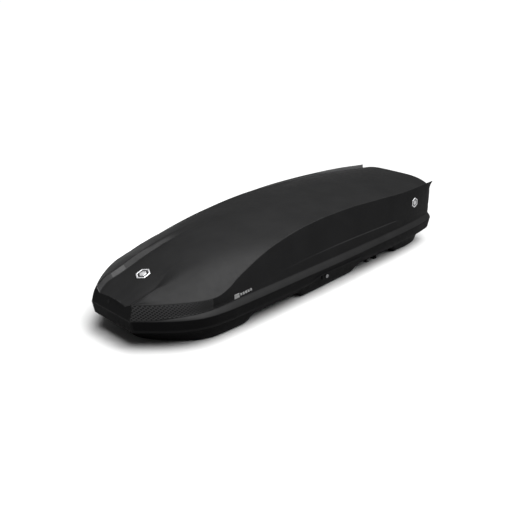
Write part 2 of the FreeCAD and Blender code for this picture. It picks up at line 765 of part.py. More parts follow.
def main():
    lid_fasteners = lid_hinge_rivets() + lock_screws()
    tray_fasteners = tray_hinge_rivets() + clamp_screws() + bracket_screws()
    plug = nose_plug()
    export("lid_shell", lid_shell().cut(lid_fasteners + [plug]))
    export("tray_shell", tray_shell().cut(tray_fasteners))
    export("nose_plug", plug)
    for side in ("left", "right"):
        turn = mirrored if side == "right" else (lambda shape: shape)
        sign = -1 if side == "left" else 1
        export(f"weave_film_{side}", turn(weave_film()))
        export(f"side_decal_{side}", turn(side_decal()))
        export(f"side_badge_{side}", turn(side_badge()))
        export(f"floor_rail_{side}", floor_rail(sign).cut(clamp_screws()))
    export("front_badge", front_badge())
    export("lid_rib_front", lid_rib(900))
    export("lid_rib_rear", lid_rib(1500))
    for name, s in zip(("front", "middle", "rear"), HINGE_STATIONS):
        export(f"hinge_leaf_tray_{name}", hinge_leaf_tray(s).cut(tray_hinge_rivets()))
        export(f"hinge_leaf_lid_{name}", hinge_leaf_lid(s).cut(lid_hinge_rivets()))
    export("hinge_pins", hinge_pins())
    for name, s in zip(("front", "rear"), STRUT_STATIONS):
        export(f"strut_cylinder_{name}", strut_cylinder(s))
        export(f"strut_rod_{name}", strut_rod(s))
        export(f"strut_bracket_tray_{name}", strut_bracket_tray(s).cut(bracket_screws()))
        export(f"strut_bracket_lid_{name}", strut_bracket_lid(s))
    export("lock_housing", lock_housing().cut(lock_screws()))
    export("key_cylinder", key_cylinder())
    export("lock_bar", lock_bar())
    export("lock_bar_guides", lock_bar_guides())
    export("strikers", strikers())
    for name, station in zip(("front", "rear"), BAR_STATIONS):
        for side, sign in (("left", -1), ("right", 1)):
            place = f"{name}_{side}"
            export(f"clamp_housing_{place}", clamp_housing(sign, station).cut(clamp_screws()))
            export(f"clamp_spindle_{place}", clamp_spindle(sign, station))
            export(f"clamp_knob_{place}", clamp_knob(sign, station))
            export(f"clamp_jaw_fore_{place}", clamp_jaw(sign, station, -1))
            export(f"clamp_jaw_aft_{place}", clamp_jaw(sign, station, 1))
    export("tray_rivets", Part.makeCompound(tray_hinge_rivets()))
    export("lid_rivets", Part.makeCompound(lid_hinge_rivets()))
    export("clamp_screws", Part.makeCompound(clamp_screws()))
    export("bracket_screws", Part.makeCompound(bracket_screws()))
    export("lock_screws", Part.makeCompound(lock_screws()))


main()
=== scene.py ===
"""Roof cargo box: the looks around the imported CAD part.

The outlines below are in millimetres, given as (s, y, z): s is the distance from the nose, y the
distance from the centre plane and z the height above the rim line, the lower edge of the bead that
runs round the lid. place() turns that into the row frame, in metres.
"""

import json
import math

import bmesh
import bpy
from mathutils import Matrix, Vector


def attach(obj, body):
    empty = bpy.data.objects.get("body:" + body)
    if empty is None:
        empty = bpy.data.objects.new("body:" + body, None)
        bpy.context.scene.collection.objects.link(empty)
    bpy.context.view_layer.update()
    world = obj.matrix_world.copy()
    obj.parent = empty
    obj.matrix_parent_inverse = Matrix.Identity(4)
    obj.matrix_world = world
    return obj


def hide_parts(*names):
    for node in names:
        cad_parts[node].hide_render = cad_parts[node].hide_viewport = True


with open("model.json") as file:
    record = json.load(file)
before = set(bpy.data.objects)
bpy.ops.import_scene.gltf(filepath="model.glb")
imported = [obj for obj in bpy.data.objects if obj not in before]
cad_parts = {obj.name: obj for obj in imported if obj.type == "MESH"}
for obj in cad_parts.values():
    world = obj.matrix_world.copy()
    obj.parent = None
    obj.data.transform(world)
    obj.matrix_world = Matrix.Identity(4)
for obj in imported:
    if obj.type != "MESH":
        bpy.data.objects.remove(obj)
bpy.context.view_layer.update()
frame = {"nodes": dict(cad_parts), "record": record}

MM = 0.001
NOSE = 10.0            # s of the nose face at the rim line
REAR = 2190.0          # s of the rearmost edge of the rim
BELLY = -158.0         # underside of the tray's bellies
MIDDLE = (NOSE + REAR) / 2
WALL = 4.0             # wall of both shells
SKIRT = -60.0          # lower edge of the lid's skirt
SKIRT_LEAN = 12.0      # how far the skirt leans in over its height
FACE_LEAN = 0.33       # set-back of the nose face for each mm of height
TRAY_TOP = -35.0       # upper edge of the tray
BAR_SEAT = -124.0      # underside of the tray over the roof bars


def place(s, y, z):
    """A point of the box's own frame, in millimetres, as a point of the row frame, in metres."""
    return Vector(((s - MIDDLE) * MM, y * MM, (z - BELLY) * MM))


def unplace(point):
    """What place() was given for a point."""
    return point.x / MM + MIDDLE, point.y / MM, point.z / MM + BELLY


def curve(*knots):
    """A smooth curve through (s, value) knots that never overshoots them (monotone cubic)."""
    xs = [k[0] for k in knots]
    ys = [k[1] for k in knots]
    steps = [(ys[i + 1] - ys[i]) / (xs[i + 1] - xs[i]) for i in range(len(xs) - 1)]
    slopes = [steps[0]]
    for a, b in zip(steps, steps[1:]):
        slopes.append(0.0 if a * b <= 0 else 2 * a * b / (a + b))
    slopes.append(steps[-1])

    def value(x):
        x = min(max(x, xs[0]), xs[-1])
        i = max(j for j in range(len(xs) - 1) if xs[j] <= x)
        width = xs[i + 1] - xs[i]
        t = (x - xs[i]) / width
        return (
            ys[i] * (1 + 2 * t) * (1 - t) ** 2
            + slopes[i] * width * t * (1 - t) ** 2
            + ys[i + 1] * t * t * (3 - 2 * t)
            + slopes[i + 1] * width * t * t * (t - 1)
        )

    return value


def ease(x, low=0.0, high=1.0):
    """0 below low, 1 above high, and smooth between them."""
    t = min(max((x - low) / (high - low), 0.0), 1.0)
    return t * t * (3 - 2 * t)


def mix(a, b, t):
    """The value at share t of the way from a to b."""
    return a + (b - a) * t


# --- Lines along the lid: half widths (_y) and heights (_z) -------------------------------

rim_y = curve((0, 138), (12, 150), (70, 208), (138, 274), (208, 325), (270, 356), (346, 372),
              (443, 378), (560, 378), (1030, 371), (1350, 364), (1770, 350), (1950, 338),
              (2060, 323), (2110, 313), (2150, 293), (2175, 266), (2190, 226))
crease_y = curve((0, 106), (35, 140), (100, 204), (176, 266), (240, 309), (308, 342), (360, 353),
                 (410, 352), (485, 338), (632, 317), (753, 305), (983, 294), (1146, 293),
                 (1348, 297), (1560, 306), (1772, 311), (1944, 300), (2170, 268))
crease_z = curve((0, 68), (35, 70), (176, 73), (308, 76), (360, 83), (410, 98), (485, 126),
                 (556, 147), (632, 170), (753, 199), (853, 216), (983, 233), (1146, 244),
                 (1348, 248), (1560, 242), (1772, 233), (1944, 227), (2170, 214))
side_y = curve((0, 108), (35, 142), (1772, 314), (1944, 309), (2060, 300), (2110, 289),
               (2150, 283), (2170, 272))
side_drop = curve((0, 3), (1650, 3), (1772, 7), (1944, 20), (2170, 42))
ridge_y = curve((0, 98), (35, 132), (100, 153), (155, 154), (223, 159), (350, 172), (600, 182))
ridge_z = curve((0, 52), (35, 68), (100, 98), (155, 113), (223, 132), (287, 149), (350, 163),
                (450, 184), (600, 208), (800, 232), (1000, 248), (1250, 259), (1500, 258),
                (1750, 248), (2000, 232), (2170, 218))
riser = curve((0, 11), (60, 15), (200, 20), (450, 18), (620, 4), (700, 0))
RISER_RUN = 25.0       # width of the slope between the sunken panel and the ridge
FADED_RUN = 62.0       # its width where the hood's step has faded into the roof
centre_z = curve((0, 48), (33, 60), (100, 87), (204, 124), (287, 152), (350, 172), (450, 196),
                 (600, 221), (800, 246), (1000, 261), (1250, 270), (1500, 269), (1750, 259),
                 (2000, 242), (2170, 227))
fin_height = curve((1100, 0), (1350, 6), (1772, 12), (2155, 19))
ledge = curve((0, 2), (60, 3), (174, 14), (300, 20), (560, 24), (2050, 24), (2190, 20))
bead_z = curve((0, 2), (60, 3), (200, 15), (350, 24), (560, 29), (2190, 27))
step_y = curve((0, 1), (700, 1), (900, 4), (1700, 6), (1800, 1))

# Where the hood's step fades, its ridge rounds off and the roof's crown takes over, as spans of s.
# All of it comes sooner on the near side, -1, than on the far side, 1.
FADES = {-1: (150, 300), 1: (430, 640)}
ROUNDS = {-1: (140, 300), 1: (300, 600)}
CROWNS = {-1: (180, 460), 1: (380, 820)}


def lid_section(s, side=1):
    """Half section of the lid at s, from the roof's centre out and down to the skirt's edge."""
    rim = rim_y(s)
    cy, cz = crease_y(s), crease_z(s)
    bead = rim - ledge(s)
    shoulder = min(side_y(s), bead - 1) if s > 1700 else cy + 2
    low_z = cz - side_drop(s)
    mid_z = max(0.36 * low_z, bead_z(s) + 12)
    mid_y = bead + (shoulder - bead) * 0.22
    fin = fin_height(s)
    root_y = cy - 4 - fin
    peak_y = min(ridge_y(s), root_y - 4)
    peak_z = ridge_z(s)
    faded = ease(s, *FADES[side])
    step = riser(s) * (1 - faded) if side < 0 else riser(s)
    foot_y = peak_y - mix(RISER_RUN, FADED_RUN, faded)
    share = (peak_y * 0.5 / foot_y) ** 2
    even = mix(centre_z(s), peak_z, (foot_y / peak_y) ** 2)
    foot_z = mix(even, peak_z, min(step / 15, 1)) - step
    return [
        (0, centre_z(s)),
        (peak_y * 0.5, mix(centre_z(s), foot_z, share)),
        (foot_y, foot_z),
        (peak_y, peak_z),
        (root_y, cz - fin + (0.5 if fin < 1 else 0)),
        (cy, cz),
        (shoulder, low_z),
        (mid_y, mid_z),
        (mid_y + step_y(s), mid_z - 6),
        (bead, bead_z(s)),
        (rim, 0),
        (rim - SKIRT_LEAN, SKIRT),
    ]


def near_section(s):
    """The lid's half section on the near side."""
    return lid_section(s, -1)


# Places in the half section, counted from the roof's centre
PANEL, RIDGE, ROOT, CREASE, SHOULDER, LINE = 2, 3, 4, 5, 6, 7
BEAD, RIM, EDGE = 9, 10, 11

# Where each place of the section ends at the rear: the fins run on past the rear wall
REAR_ENDS = (2153, 2153, 2153, 2153, 2156, 2184, 2171, 2142, 2140, 2137, 2150, 2143)
END_RING = 2150.0      # nominal s of the last ring
TAIL = 2090.0          # where the rings start to spread towards those ends
FACE_END = 230.0       # where the rings stop leaning back with the nose face


def ring_controls(t, section, side):
    """The control points of one half of the lid's ring at t: upright rings, but the first lies in the
    nose face and the last follows the rear ends. section is lid_section or near_section."""
    upright = ease(t, NOSE, FACE_END)
    tail = ease(t, TAIL, END_RING)
    points = []
    for i in range(len(REAR_ENDS)):
        s = t
        for _ in range(5):    # the set-back depends on the height at s, so it is settled in turns
            z = section(s)[i][1]
            set_back = FACE_LEAN * z if z > 0 else SKIRT_LEAN * z / SKIRT
            s = t + set_back * (1 - upright) + (REAR_ENDS[i] - END_RING) * tail
        y, z = section(s)[i]
        points.append(Vector((s, side * y, z)))
    return points


def crowned(point, side):
    """A roof point moved onto a smooth crown, which replaces the hood's facets towards the rear."""
    s, y, z = point
    weight = ease(s, *CROWNS[side])
    if weight == 0:
        return point
    half = lid_section(s)
    top = half[0][1]
    (ridge, ridge_top), (root, root_top) = half[RIDGE], half[ROOT]
    # top - a y^2 - b y^4, through the ridge and the fin's root
    p, r = ridge * ridge, root * root
    b = ((top - root_top) / r - (top - ridge_top) / p) / (r - p)
    a = (top - ridge_top) / p - b * p
    q = y * y
    return Vector((s, y, mix(z, top - a * q - b * q * q, weight)))


ARC = 4             # pieces on each rounded corner
MOST_CUT = 0.45     # the largest share of a run that a corner's rounding takes
UPRIGHT = 0.9       # a run that climbs more than this share of its length counts as upright


def softened(points, cuts, splits, bulges):
    """A polyline with rounded corners. cuts[i] is how far corner i is cut back (None: no corner, the
    point is just passed), splits[i] the pieces on run i, and bulges[i] how far the run stands out."""
    last = len(points) - 1
    starts, ends = [None] * (last + 1), [None] * (last + 1)
    for i in range(1, last):
        before, after = points[i - 1] - points[i], points[i + 1] - points[i]
        cut = cuts[i] or 0.0
        cut = min(cut, MOST_CUT * before.length, MOST_CUT * after.length)
        starts[i] = points[i] + before.normalized() * cut
        ends[i] = points[i] + after.normalized() * cut
    ends[0], starts[last] = points[0], points[last]
    out = [points[0].copy()]
    for i in range(last):
        a, b = ends[i], starts[i + 1]
        along = (b - a).normalized()
        outward = Vector((0, -along.z, along.y))
        if outward.y * (points[i + 1].y + points[i].y) < 0 and abs(along.z) > UPRIGHT:
            outward = -outward
        if outward.z < 0 and abs(along.z) <= UPRIGHT:
            outward = -outward
        for k in range(1, splits[i] + 1):
            f = k / splits[i]
            out.append(a.lerp(b, f) + outward * bulges[i] * 4 * f * (1 - f))
        if i + 1 < last and cuts[i + 1] is not None:
            corner, exit_point = points[i + 1], ends[i + 1]
            for k in range(1, ARC + 1):
                f = k / ARC
                out.append(b * (1 - f) ** 2 + corner * 2 * f * (1 - f) + exit_point * f * f)
    return out


def row_of(place_index, cuts, splits):
    """The index of a corner's middle in what softened() returns."""
    row = 0
    for i in range(place_index):
        row += splits[i]
        if i + 1 < len(splits) and cuts[i + 1] is not None:
            row += ARC if i + 1 < place_index else ARC // 2
    return row


# Corner cuts, run splits and bulges for the outer skin's half section
CUTS = [None, None, 4, 5, 6, 4, 4, 3, 2.5, 5, 5, None]
SPLITS = [5, 5, 1, 12, 3, 1, 8, 1, 4, 4, 6]
BULGES = [2.0, 1.0, 0, 2.5, 0, 0, 2.0, 0, 0.6, 0.6, 0]
ROW_CREASE = row_of(CREASE, CUTS, SPLITS)
ROW_SHOULDER = row_of(SHOULDER, CUTS, SPLITS)
ROW_BEAD = row_of(BEAD, CUTS, SPLITS)
ROW_RIM = row_of(RIM, CUTS, SPLITS)
ROW_CROWN = ROW_CREASE - ARC // 2 - SPLITS[CREASE - 1]    # the last row before the fin's slope
RIDGE_CUTS = (4, 60)       # how far the ridge is cut back, sharp and rounded off
CREASE_CUTS = (4, 1.5)     # the same for the crease, along the side and at the fin's tip


def stations():
    """Ring stations: close together at the nose, along the rising crease and at the rear corner."""
    spans = ((NOSE, 60, 10), (60, 360, 32), (360, 860, 40), (860, 2040, 64), (2040, END_RING, 20))
    out = [NOSE]
    for low, high, count in spans:
        out += [mix(low, high, (k + 1) / count) for k in range(count)]
    return out


SCOOP = (950.0, 1040.0, 1330.0, 1500.0)    # finger scoop in the near skirt
SCOOP_TOP = -31.0                          # z of the skirt's edge where the scoop is deepest
SCOOP_LIP = 5.0                            # how far its upper edge rolls out


def scoop_share(s):
    """How much of the scoop there is at s, 0 to 1."""
    return ease(s, SCOOP[0], SCOOP[1]) * (1 - ease(s, SCOOP[2], SCOOP[3]))


def outer_ring(t, side):
    """One half ring of the outer skin, from the roof's centre down to the skirt's edge."""
    cuts = list(CUTS)
    section = near_section if side < 0 else lid_section
    cuts[RIDGE] = mix(*RIDGE_CUTS, ease(t, *ROUNDS[side]))
    cuts[CREASE] = mix(*CREASE_CUTS, ease(t, 1900, END_RING))
    points = softened(ring_controls(t, section, side), cuts, SPLITS, BULGES)
    points = [crowned(p, side) if i <= ROW_CROWN else p for i, p in enumerate(points)]
    share = scoop_share(t) if side < 0 else 0.0
    if share:
        for i in range(ROW_RIM + 1, len(points)):
            p = points[i]
            depth = p.z / SKIRT
            z = p.z * mix(1, SCOOP_TOP / SKIRT, share)
            lip = share * SCOOP_LIP * ease(depth, 0.62, 0.82)
            points[i] = Vector((p.x, side * (rim_y(p.x) - SKIRT_LEAN * z / SKIRT + lip), z))
    return points


class Skin:
    """Vertices and faces gathered for one mesh, in millimetres of the box's own frame."""

    def __init__(self):
        self.points, self.faces = [], []

    def row(self, points):
        """Adds points and gives back their numbers."""
        first = len(self.points)
        self.points += points
        return list(range(first, first + len(points)))

    def strip(self, a, b, flip=False):
        """Faces between two rows of point numbers. Points that the rows share are used once."""
        for i in range(len(a) - 1):
            quad = [a[i], a[i + 1], b[i + 1], b[i]]
            corners = []
            for v in quad:
                if v not in corners:
                    corners.append(v)
            if len(corners) > 2:
                self.faces.append(corners[::-1] if flip else corners)

    def sheet(self, rows, flip=False):
        """Faces between each row and the next."""
        for a, b in zip(rows, rows[1:]):
            self.strip(a, b, flip)


def end_face(skin, left, right, top_row, low_row, depth):
    """Rows of point numbers that close an end. left and right are the end rings' point numbers, from
    the roof's centre down. Columns match the roof's points and rows the side's. depth(y, z, edge)
    gives s, where edge is the ring's point at the end of that row."""
    rows = []
    corner = skin.points[right[top_row]]
    low = skin.points[right[low_row]]
    for r in range(top_row, len(right)):
        edge = skin.points[right[r]]
        row = []
        for j in range(top_row, -1, -1):
            if r == top_row:
                row.append(left[j])
                continue
            if j == top_row:
                row.append(left[r])
                continue
            top = skin.points[left[j]]
            ratio = top.y / skin.points[left[top_row]].y
            z = edge.z
            if r < low_row:
                z = low.z + (edge.z - low.z) * (top.z - low.z) / (corner.z - low.z)
            y = -edge.y * ratio
            skin.points.append(Vector((depth(y, z, edge), y, z)))
            row.append(len(skin.points) - 1)
        for j in range(1, top_row + 1):
            if r == top_row:
                row.append(right[j])
                continue
            if j == top_row:
                row.append(right[r])
                continue
            twin = skin.points[row[top_row - j]]
            skin.points.append(Vector((twin.x, -twin.y, twin.z)))
            row.append(len(skin.points) - 1)
        rows.append(row)
    return rows


# s of the rear wall, bead and skirt on the centre plane, at each z
rear_wall_s = curve((-60, 2178), (-4, 2189), (0, 2190), (4, 2187), (24, 2171), (29, 2168.5),
                    (60, 2166), (230, 2153))
CORNER_REACH = (66, 26)    # how far the rear wall curves in at its corners, at the bead and above it


def nose_depth(y, z, edge):
    """The nose face leans back and is flat from side to side."""
    return NOSE + (FACE_LEAN * z if z > 0 else SKIRT_LEAN * z / SKIRT)


def rear_depth(y, z, edge):
    """The rear wall curves forward towards its corners."""
    wall = rear_wall_s(z)
    reach = mix(*CORNER_REACH, ease(z, 24, 60))
    x = min((abs(edge.y) - abs(y)) / reach, 1.0)
    return wall - (wall - edge.x) * (1 - x) ** 2


def mesh_object(name, skin):
    """An object in the scene, made from a Skin."""
    mesh = bpy.data.meshes.new(name)
    mesh.from_pydata([place(*p) for p in skin.points], [], skin.faces)
    mesh.validate()
    ob = bpy.data.objects.new(name, mesh)
    bpy.context.scene.collection.objects.link(ob)
    clean(ob)
    return ob


def clean(ob):
    """Merges doubled points, drops loose ones and turns every face outwards."""
    bm = bmesh.new()
    bm.from_mesh(ob.data)
    bmesh.ops.remove_doubles(bm, verts=bm.verts, dist=1e-6)
    bmesh.ops.dissolve_degenerate(bm, dist=1e-6, edges=bm.edges)
    bmesh.ops.recalc_face_normals(bm, faces=bm.faces)
    for f in bm.faces:
        f.smooth = True
    bm.to_mesh(ob.data)
    bm.free()


def round_edges(ob, width, segments=2, angle=32):
    """Rounds the sharp edges that the mesh still has, in millimetres."""
    bevel = ob.modifiers.new("edges", "BEVEL")
    bevel.width = width * MM
    bevel.segments = segments
    bevel.limit_method = "ANGLE"
    bevel.angle_limit = math.radians(angle)
    bevel.harden_normals = False
    return bevel


def apply_modifiers(ob):
    """Turns what the modifiers make into the object's own mesh."""
    dg = bpy.context.evaluated_depsgraph_get()
    mesh = bpy.data.meshes.new_from_object(ob.evaluated_get(dg))
    old = ob.data
    ob.modifiers.clear()
    ob.data = mesh
    mesh.name = ob.name
    bpy.data.meshes.remove(old)
    return ob


# --- Materials ----------------------------------------------------------------------------


class Nodes:
    """A small helper for procedural materials."""

    def __init__(self, name):
        self.material = bpy.data.materials.new(name)
        self.material.use_nodes = True
        self.tree = self.material.node_tree
        self.shader = self.tree.nodes["Principled BSDF"]

    def add(self, kind):
        return self.tree.nodes.new(kind)

    def link(self, a, b):
        self.tree.links.new(a, b)

    def noise(self, scale, detail=3.0, roughness=0.55):
        """Cloudy noise in the object's own metres."""
        coords = self.add("ShaderNodeTexCoord")
        node = self.add("ShaderNodeTexNoise")
        node.inputs["Scale"].default_value = scale
        node.inputs["Detail"].default_value = detail
        node.inputs["Roughness"].default_value = roughness
        self.link(coords.outputs["Object"], node.inputs["Vector"])
        return node.outputs["Fac"]

    def ramp(self, value, low, high, spread=(0.3, 0.7)):
        """A value mapped from dark to light between two numbers or colours."""
        node = self.add("ShaderNodeValToRGB")
        node.color_ramp.elements[0].position = spread[0]
        node.color_ramp.elements[1].position = spread[1]
        for element, colour in zip(node.color_ramp.elements, (low, high)):
            element.color = (*colour, 1) if hasattr(colour, "__len__") else (colour,) * 3 + (1,)
        self.link(value, node.inputs["Fac"])
        return node.outputs["Color"]

    def blend(self, factor, a, b):
        """Colour a where factor is 0 and b where it is 1."""
        node = self.add("ShaderNodeMix")
        node.data_type = "RGBA"
        for socket, value in ((node.inputs[0], factor), (node.inputs[6], a), (node.inputs[7], b)):
            if hasattr(value, "links"):
                self.link(value, socket)
            elif hasattr(value, "__len__"):
                socket.default_value = (*value, 1)
            else:
                socket.default_value = value
        return node.outputs[2]

    def math(self, operation, a, b=None, c=None):
        node = self.add("ShaderNodeMath")
        node.operation = operation
        for socket, value in zip(node.inputs, (a, b, c)):
            if value is None:
                continue
            if hasattr(value, "links"):
                self.link(value, socket)
            else:
                socket.default_value = value
        return node.outputs[0]

    def bump(self, height, strength, distance, below=None):
        """A bumped normal, on top of the one below if there is one."""
        node = self.add("ShaderNodeBump")
        node.inputs["Strength"].default_value = strength
        node.inputs["Distance"].default_value = distance
        self.link(height, node.inputs["Height"])
        if below is not None:
            self.link(below, node.inputs["Normal"])
        return node.outputs["Normal"]


def moulded_plastic(name, dark, light, rough=(0.42, 0.55), grain=900.0, depth=0.25, specular=0.35):
    """Grained moulded plastic: fine leather-like grain, slight flow marks and a painted highlight that
    makes sharp convex edges paler.
    """
    n = Nodes(name)
    flow = n.noise(7.0, 4.0)
    colour = n.ramp(flow, dark, light)
    geometry = n.add("ShaderNodeNewGeometry")
    # painted highlight: sharp convex edges, found by Pointiness, are blended part way to a paler tone
    edge_highlight = n.ramp(geometry.outputs["Pointiness"], 0.0, 1.0, (0.53, 0.62))
    pale = tuple(c * 1.9 + 0.004 for c in light)
    colour = n.blend(n.math("MULTIPLY", edge_highlight, 0.35), colour, pale)
    n.link(colour, n.shader.inputs["Base Color"])
    n.link(n.ramp(n.noise(38.0, 5.0), *rough), n.shader.inputs["Roughness"])
    fine = n.noise(grain, 2.0, 0.6)
    coarse = n.noise(grain * 0.27, 2.0, 0.5)
    normal = n.bump(coarse, depth * 0.5, 0.0006)
    normal = n.bump(fine, depth, 0.0003, normal)
    n.link(normal, n.shader.inputs["Normal"])
    n.shader.inputs["Specular IOR Level"].default_value = specular
    return n.material


def steel(name, tint, rough=(0.28, 0.42)):
    """Rolled or zinc-plated steel with faint brushing."""
    n = Nodes(name)
    cloud = n.noise(55.0, 5.0, 0.65)
    n.link(n.ramp(cloud, tuple(c * 0.8 for c in tint), tint), n.shader.inputs["Base Color"])
    n.link(n.ramp(n.noise(140.0, 3.0), *rough), n.shader.inputs["Roughness"])
    n.link(n.bump(n.noise(700.0, 2.0), 0.12, 0.0002), n.shader.inputs["Normal"])
    n.shader.inputs["Metallic"].default_value = 1.0
    return n.material


WEAVE_PITCH = 0.0155      # from one thread to the next along the box, in metres
WEAVE_SLOPE = 1.25        # how much closer the threads lie upwards than along the box
WEAVE_FADE = (190, 300)   # the span of s over which the weave fades out


def weave_film(name):
    """A woven look in two blacks that fades into the lid's own black towards the rear."""
    n = Nodes(name)
    coords = n.add("ShaderNodeTexCoord")
    split = n.add("ShaderNodeSeparateXYZ")
    n.link(coords.outputs["Object"], split.inputs[0])
    x, z = split.outputs[0], split.outputs[2]
    rise = n.math("MULTIPLY", z, WEAVE_SLOPE)
    turn = 2 * math.pi / WEAVE_PITCH
    rising, falling = [n.math("SINE", n.math("MULTIPLY", n.math(way, x, rise), turn))
                       for way in ("ADD", "SUBTRACT")]
    cross = n.math("MULTIPLY_ADD", n.math("MAXIMUM", rising, falling), 0.5, 0.5)
    fade = n.add("ShaderNodeMapRange")
    fade.interpolation_type = "SMOOTHSTEP"
    fade.inputs["From Min"].default_value = place(WEAVE_FADE[0], 0, 0).x
    fade.inputs["From Max"].default_value = place(WEAVE_FADE[1], 0, 0).x
    n.link(x, fade.inputs["Value"])
    threads = n.ramp(cross, WEAVE_TONES[0], WEAVE_TONES[1], (0.55, 1.0))
    n.link(n.blend(fade.outputs[0], threads, LID_TONES[1]), n.shader.inputs["Base Color"])
    height = n.math("MULTIPLY", cross, n.math("SUBTRACT", 1.0, fade.outputs[0]))
    n.link(n.bump(height, 0.5, 0.0004, n.bump(n.noise(900.0, 2.0), 0.2, 0.0002)),
           n.shader.inputs["Normal"])
    n.link(n.ramp(cross, 0.55, 0.42), n.shader.inputs["Roughness"])
    n.shader.inputs["Specular IOR Level"].default_value = 0.04
    return n.material


# Linear colours, each as its dark and its light tone
WEAVE_TONES = ((0.0006, 0.0006, 0.0007), (0.016, 0.016, 0.0162))
LID_TONES = ((0.0044, 0.0044, 0.0045), (0.0055, 0.0055, 0.0056))
# the side's tones: the lid's black darkened as painted shade, for the upright side and nose faces
SIDE_SHADE_TONES = ((0.0030, 0.0030, 0.0031), (0.0038, 0.0038, 0.0039))
# the skirt's tones: the lid's black darkened further as painted shade below the bead
SKIRT_SHADE_TONES = ((0.0013, 0.0013, 0.0014), (0.0018, 0.0018, 0.0019))
LID_BLACK = moulded_plastic("lid_black", *LID_TONES, rough=(0.44, 0.52), depth=0.16, specular=0.045)
# the skirt's black: the lid's black darkened as painted shade
LID_SKIRT_SHADED = moulded_plastic("lid_skirt_painted_shade", *SKIRT_SHADE_TONES, rough=(0.5, 0.6), grain=700.0,
                            specular=0.015)
# the side's black: the lid's black darkened as painted shade, with less specular
LID_SIDE_SHADED = moulded_plastic("lid_side_painted_shade", *SIDE_SHADE_TONES, rough=(0.5, 0.58), depth=0.2, specular=0.02)
# the tray's own black, darkened further as painted shade, since no light bounces up to it under the lid
TRAY_BLACK_AND_SHADE = moulded_plastic("tray_black_and_shade", (0.0018, 0.0018, 0.0019), (0.003, 0.003, 0.0031),
                             rough=(0.55, 0.7), grain=600.0, depth=0.4, specular=0.04)
INSIDE_BLACK = moulded_plastic("inside_black", (0.012, 0.012, 0.0122), (0.016, 0.016, 0.0162),
                               rough=(0.5, 0.62), grain=600.0, depth=0.3, specular=0.08)
TRIM_BLACK = moulded_plastic("trim_black", (0.004, 0.004, 0.0042), (0.006, 0.006, 0.0062),
                             rough=(0.42, 0.56), grain=1400.0, specular=0.15)
KNOB_GREY = moulded_plastic("knob_grey", (0.02, 0.02, 0.021), (0.03, 0.03, 0.031),
                            rough=(0.4, 0.52), grain=1400.0, specular=0.2)
PAINTED = moulded_plastic("black_paint", (0.004, 0.004, 0.0042), (0.006, 0.006, 0.0062),
                          rough=(0.24, 0.34), grain=300.0, depth=0.06, specular=0.3)
PRINTED = moulded_plastic("printed_silver", (0.06, 0.06, 0.06), (0.075, 0.075, 0.075),
                          rough=(0.45, 0.55), grain=1400.0, depth=0.04, specular=0.2)
ZINC = steel("zinc_steel", (0.26, 0.26, 0.27))
ALUMINIUM = steel("mill_aluminium", (0.28, 0.285, 0.29), (0.3, 0.45))
SILVER = steel("badge_silver", (0.42, 0.42, 0.43), (0.5, 0.6))
LOCK_FACE = steel("lock_face", (0.16, 0.16, 0.165), (0.35, 0.45))
CHROME = steel("chrome", (0.4, 0.4, 0.41), (0.08, 0.16))
WEAVE = weave_film("weave")


def paint(ob, material):
    """Gives the object one material."""
    ob.data.materials.clear()
    ob.data.materials.append(material)
    return ob


# --- Lid ----------------------------------------------------------------------------------


def hollow_controls(t, side):
    """Control points of the lid's inner surface: it passes under the fins and keeps one corner."""
    outer = ring_controls(t, lid_section, side)
    shift = {NOSE: WALL, END_RING: -WALL}.get(t, 0.0)

    def inward(i, dy, dz):
        p = outer[i]
        return Vector((min(p.x, END_RING) + shift, p.y + side * dy, p.z + dz))

    crease = outer[CREASE]
    under_fin = min(outer[ROOT].z, crease.z) - 3
    corner = Vector((min(crease.x, END_RING) + shift, crease.y - side * 4, under_fin - WALL))
    return [
        inward(0, 0, -WALL),
        inward(1, 0, -WALL),
        inward(PANEL, -1, -WALL),
        inward(RIDGE, -3, -WALL),
        corner,
        inward(LINE, -WALL - 1, -2),
        inward(BEAD, -WALL, -WALL),
        inward(RIM, -WALL, -2),
        inward(EDGE, -WALL, 0),
    ]


# Corner cuts, run splits and bulges for the inner skin's half section
IN_CUTS = [None, None, 8, 8, 12, 12, 6, 4, None]
IN_SPLITS = [3, 3, 1, 6, 5, 3, 2, 4]
IN_BULGES = [0] * 8
IN_CORNER = row_of(4, IN_CUTS, IN_SPLITS)
IN_BEAD = row_of(6, IN_CUTS, IN_SPLITS)


def inner_ring(t, side):
    """One half ring of the inner skin, from the roof's centre down to the skirt's edge."""
    points = softened(hollow_controls(t, side), IN_CUTS, IN_SPLITS, IN_BULGES)
    out = []
    for i, p in enumerate(points):
        if i <= IN_CORNER - ARC // 2 - 2:
            lifted = crowned(Vector((p.x, p.y, p.z + WALL)), side)
            p = Vector((p.x, p.y, lifted.z - WALL))
        out.append(p)
    share = scoop_share(t) if side < 0 else 0.0
    if share:
        for i in range(len(out)):
            if out[i].z < -3:
                out[i] = Vector((out[i].x, out[i].y, out[i].z * mix(1, SCOOP_TOP / SKIRT, share)))
    return out


def bridge(skin, a, b):
    """Joins two rows with different counts by walking across the box on both of them together."""
    i, j = 0, 0
    while i < len(a) - 1 or j < len(b) - 1:
        ya = abs(skin.points[a[min(i + 1, len(a) - 1)]].y - skin.points[a[0]].y)
        yb = abs(skin.points[b[min(j + 1, len(b) - 1)]].y - skin.points[b[0]].y)
        if j >= len(b) - 1 or (i < len(a) - 1 and ya <= yb):
            skin.faces.append([a[i], a[i + 1], b[j]])
            i += 1
        else:
            skin.faces.append([a[i], b[j + 1], b[j]])
            j += 1


